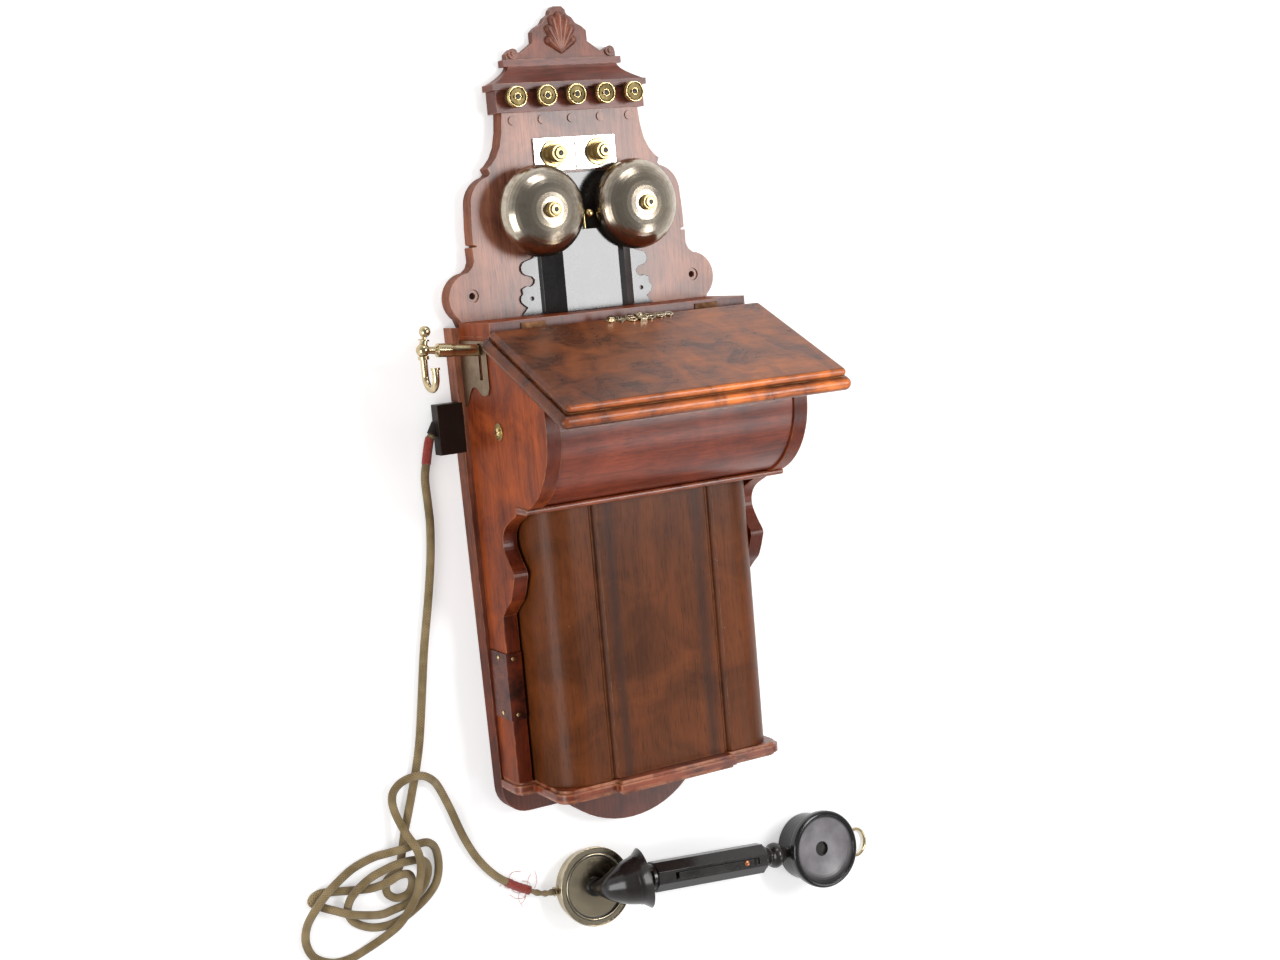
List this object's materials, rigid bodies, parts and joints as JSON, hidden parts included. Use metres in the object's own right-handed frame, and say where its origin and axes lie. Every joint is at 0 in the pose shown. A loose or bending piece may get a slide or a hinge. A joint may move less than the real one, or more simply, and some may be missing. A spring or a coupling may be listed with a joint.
{
  "type": "wall telephone set",
  "caption": "Magneto wall telephone in wood with a writing-desk lid, two gongs, switch hook and a corded handset, lying on its back.",
  "frame": {"origin": "midway between the two wall-screw holes, on the backboard's back face, which is also the surface that the set, the handset and the cord lie on", "axes": "+X to the set's right as seen from the front, +Y towards the carved crest, +Z out of the backboard"},
  "size_m": [0.6069, 0.869, 0.2252],
  "materials": {
    "backboard": "faded varnish",
    "cornice_block": "aged varnish",
    "cornice_moulding": "aged varnish",
    "crest_carving": "carved, worn varnish",
    "line_terminals": "worn lacquer",
    "post_plugs": "aged varnish",
    "arrester_plate": "nickel plated",
    "arrester_nuts": "knurled",
    "ringer_base": "black japanned",
    "ringer_cover": "glossy black japanned",
    "ringer_coils": "silk-wound",
    "clapper_pin": "satin",
    "clapper": "satin",
    "gong_posts": "satin",
    "gong_left": "worn nickel",
    "gong_right": "worn nickel",
    "gong_nuts": "polished",
    "top_board": "aged varnish",
    "left_cheek": "aged varnish",
    "right_cheek": "aged varnish",
    "desk_ledge": "aged varnish",
    "drum_front": "deep gloss varnish",
    "lid_hinges": "satin",
    "lid_hinge_leaves": "satin",
    "desk_lid": "gloss varnish",
    "paper_clip": "aged",
    "magneto_frame": "satin",
    "magneto_magnets": "hardened steel",
    "pole_pieces": "machined",
    "armature": "machined",
    "drive_gear": "machined",
    "crank": "nickel plated",
    "crank_knob": "ebonised",
    "crank_bush": "satin",
    "induction_coil": "silk-wound",
    "hook_plate": "dull nickel",
    "hook_bracket": "satin",
    "contact_springs": "spring brass",
    "hook_lever": "worn",
    "hook_rod": "worn nickel over brass",
    "hook_wire": "worn nickel over brass",
    "side_boss": "satin",
    "cord_block": "ebonised",
    "wear_plate": "dark japanned",
    "bottom_shelf": "aged varnish",
    "battery_cells": "waxed card",
    "battery_tops": "pitch with brass terminals",
    "battery_cover": "gloss varnish",
    "transmitter_case": "worn nickel",
    "transmitter_ring": "nickel plated",
    "horn": "black ebonite",
    "handset_handle": "black ebonite",
    "handset_neck": "black ebonite",
    "talk_lever": "ebonite with a copper screw",
    "receiver_case": "black ebonite",
    "ear_cap": "black ebonite",
    "hanging_ring": "worn",
    "cord_run": "braided cotton",
    "cord_tangle": "braided cotton",
    "cord_to_handset": "braided cotton"
  },
  "bodies": {
    "set": {"backboard": "backboard", "cornice_block": "cornice_block", "cornice_moulding": "cornice_moulding", "crest_carving": "crest_carving", "line_terminals": "line_terminals", "post_plugs": "post_plugs", "arrester_plate": "arrester_plate", "arrester_nuts": "arrester_nuts", "ringer_base": "ringer_base", "ringer_cover": "ringer_cover", "ringer_coils": "ringer_coils", "clapper_pin": "clapper_pin", "gong_posts": "gong_posts", "gong_left": "gong_left", "gong_right": "gong_right", "gong_nuts": "gong_nuts", "top_board": "top_board", "left_cheek": "left_cheek", "right_cheek": "right_cheek", "desk_ledge": "desk_ledge", "drum_front": "drum_front", "lid_hinges": "lid_hinges", "magneto_frame": "magneto_frame", "magneto_magnets": "magneto_magnets", "pole_pieces": "pole_pieces", "crank_bush": "crank_bush", "induction_coil": "induction_coil", "hook_plate": "hook_plate", "hook_bracket": "hook_bracket", "contact_springs": "contact_springs", "side_boss": "side_boss", "cord_block": "cord_block", "wear_plate": "wear_plate", "bottom_shelf": "bottom_shelf", "battery_cells": "battery_cells", "battery_tops": "battery_tops", "cord_run": "cord_run", "cord_tangle": "cord_tangle", "cord_to_handset": "cord_to_handset"},
    "lid": {"desk_lid": "desk_lid", "lid_hinge_leaves": "lid_hinge_leaves", "paper_clip": "paper_clip"},
    "crank": {"crank": "crank", "crank_knob": "crank_knob", "drive_gear": "drive_gear"},
    "armature": {"armature": "armature"},
    "hook": {"hook_lever": "hook_lever", "hook_rod": "hook_rod", "hook_wire": "hook_wire"},
    "clapper": {"clapper": "clapper"},
    "battery_cover": {"battery_cover": "battery_cover"},
    "handset": {"transmitter_case": "transmitter_case", "transmitter_ring": "transmitter_ring", "horn": "horn", "handset_handle": "handset_handle", "handset_neck": "handset_neck", "receiver_case": "receiver_case", "ear_cap": "ear_cap"},
    "talk_lever": {"talk_lever": "talk_lever"},
    "hanging_ring": {"hanging_ring": "hanging_ring"}
  },
  "joints": [
    {"name": "lid_hinge", "type": "hinge", "parent": "set", "child": "lid", "pos_m": [0, -0.03187, 0.08432], "axis": [-1, 0, 0], "range_deg": [0, 88]},
    {"name": "crank_turn", "type": "hinge", "parent": "set", "child": "crank", "pos_m": [0.1, -0.116, 0.0802], "axis": [1, 0, 0], "continuous": true},
    {"name": "armature_turn", "type": "hinge", "parent": "set", "child": "armature", "pos_m": [0, -0.116, 0.0352], "axis": [1, 0, 0], "continuous": true},
    {"name": "hook_switch", "type": "hinge", "parent": "set", "child": "hook", "pos_m": [-0.0633, -0.0528, 0.057], "axis": [0, 0, 1], "range_deg": [0, 13], "stiffness_Nm_per_rad": 0.8, "springref_deg": -34.38},
    {"name": "clapper_swing", "type": "hinge", "parent": "set", "child": "clapper", "pos_m": [0, 0.01, 0.0247], "axis": [0, 0, 1], "range_deg": [-2.8, 2.8]},
    {"name": "battery_cover_lift", "type": "slide", "parent": "set", "child": "battery_cover", "axis": [0, 0, 1], "range_m": [0, 0.15]},
    {"name": "handset_lift", "type": "slide", "parent": "set", "child": "handset", "axis": [0, 0, 1], "range_m": [0, 0.12]},
    {"name": "talk_press", "type": "hinge", "parent": "handset", "child": "talk_lever", "pos_m": [0.12016, -0.57325, 0.0362], "axis": [-0.0846, -0.9866, 0.1392], "range_deg": [0, 1.6], "stiffness_Nm_per_rad": 0.3, "springref_deg": -14.32},
    {"name": "ring_swing", "type": "hinge", "parent": "handset", "child": "hanging_ring", "pos_m": [0.2485, -0.59245, 0.00877], "axis": [-0.1711, -0.9754, 0.1386], "range_deg": [0, 100]}
  ],
  "couplings": [
    {"joint": "armature_turn", "follows": "crank_turn", "ratio": -4}
  ]
}
